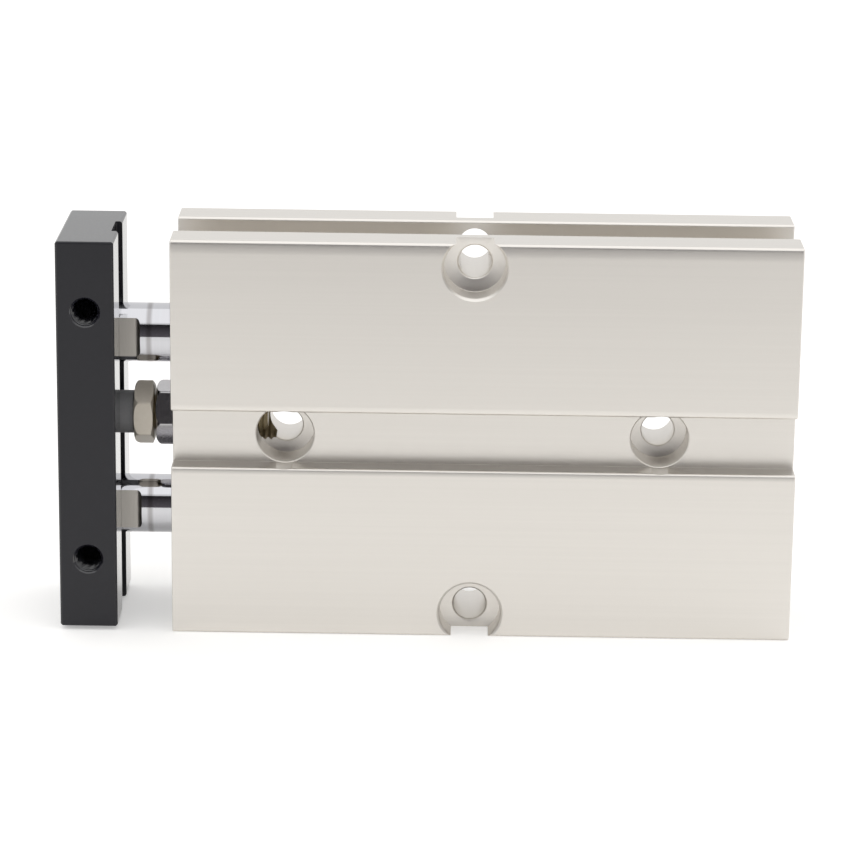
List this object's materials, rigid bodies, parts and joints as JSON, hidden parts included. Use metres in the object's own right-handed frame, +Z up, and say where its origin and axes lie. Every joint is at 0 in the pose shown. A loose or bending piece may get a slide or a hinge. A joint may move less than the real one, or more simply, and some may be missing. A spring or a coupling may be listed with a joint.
{
  "type": "double rod pneumatic cylinder",
  "caption": "Flat twin-bore air cylinder with parallel guide rods tied by an end plate, an adjustable stop screw, counterbored mounting holes and a sensor slot.",
  "frame": {"origin": "under the middle of the whole retracted part, on the surface that it stands on", "axes": "+X along the rods towards the rear of the body, +Y through the thin side towards the back broad face, +Z up from the narrow face with the air ports to the one with the sensor slot"},
  "size_m": [0.098, 0.021, 0.054],
  "materials": {
    "anodised_body": "satin clear anodised extrusion",
    "black_plate": "black anodised, satin",
    "hard_chrome": "ground and polished hard chrome",
    "nickel_screw": "turned, nickel plated",
    "black_oxide_screw": "black oxide",
    "black_rubber": "matt nitrile rubber",
    "cushion_rubber": "polyurethane",
    "plain_aluminium": "turned",
    "bronze_bush": "sintered bronze",
    "spring_steel": "phosphated spring steel",
    "bonded_magnet": "plastic-bonded ferrite",
    "acetal_ring": "acetal",
    "zinc_nut": "zinc plated"
  },
  "bodies": {
    "barrel": {"cylinder_body": "anodised_body", "upper_rod_cover": "plain_aluminium", "upper_rod_cover_o_ring": "black_rubber", "upper_rod_seal": "black_rubber", "upper_rod_bush": "bronze_bush", "upper_front_circlip": "spring_steel", "upper_end_cap": "plain_aluminium", "upper_end_cap_o_ring": "black_rubber", "upper_rear_circlip": "spring_steel", "upper_rear_cushion": "cushion_rubber", "lower_rod_cover": "plain_aluminium", "lower_rod_cover_o_ring": "black_rubber", "lower_rod_seal": "black_rubber", "lower_rod_bush": "bronze_bush", "lower_front_circlip": "spring_steel", "lower_end_cap": "plain_aluminium", "lower_end_cap_o_ring": "black_rubber", "lower_rear_circlip": "spring_steel", "lower_rear_cushion": "cushion_rubber", "stop_lock_nut": "zinc_nut"},
    "carriage": {"end_plate": "black_plate", "upper_piston_rod": "hard_chrome", "upper_plate_screw": "black_oxide_screw", "upper_front_cushion": "cushion_rubber", "upper_front_piston": "plain_aluminium", "upper_rear_piston": "plain_aluminium", "upper_magnet_ring": "bonded_magnet", "upper_front_piston_seal": "black_rubber", "upper_rear_piston_seal": "black_rubber", "upper_wear_ring": "acetal_ring", "upper_piston_nut": "zinc_nut", "lower_piston_rod": "hard_chrome", "lower_plate_screw": "black_oxide_screw", "lower_front_cushion": "cushion_rubber", "lower_front_piston": "plain_aluminium", "lower_rear_piston": "plain_aluminium", "lower_magnet_ring": "bonded_magnet", "lower_front_piston_seal": "black_rubber", "lower_rear_piston_seal": "black_rubber", "lower_wear_ring": "acetal_ring", "lower_piston_nut": "zinc_nut"},
    "stop_bumper": {"stop_bumper": "black_rubber"},
    "stop_screw": {"stop_screw": "nickel_screw"}
  },
  "joints": [
    {"name": "carriage_slide", "type": "slide", "parent": "barrel", "child": "carriage", "axis": [-1, 0, 0], "range_m": [0, 0.03]},
    {"name": "stop_travel", "type": "slide", "parent": "barrel", "child": "stop_bumper", "axis": [1, 0, 0], "range_m": [0, 0.00025]},
    {"name": "stop_turn", "type": "hinge", "parent": "stop_bumper", "child": "stop_screw", "pos_m": [-0.03395, 0, 0.0279], "axis": [1, 0, 0], "range_deg": [0, 113]}
  ],
  "couplings": [
    {"joint": "stop_turn", "follows": "stop_travel", "rad_per_m": 7854}
  ]
}
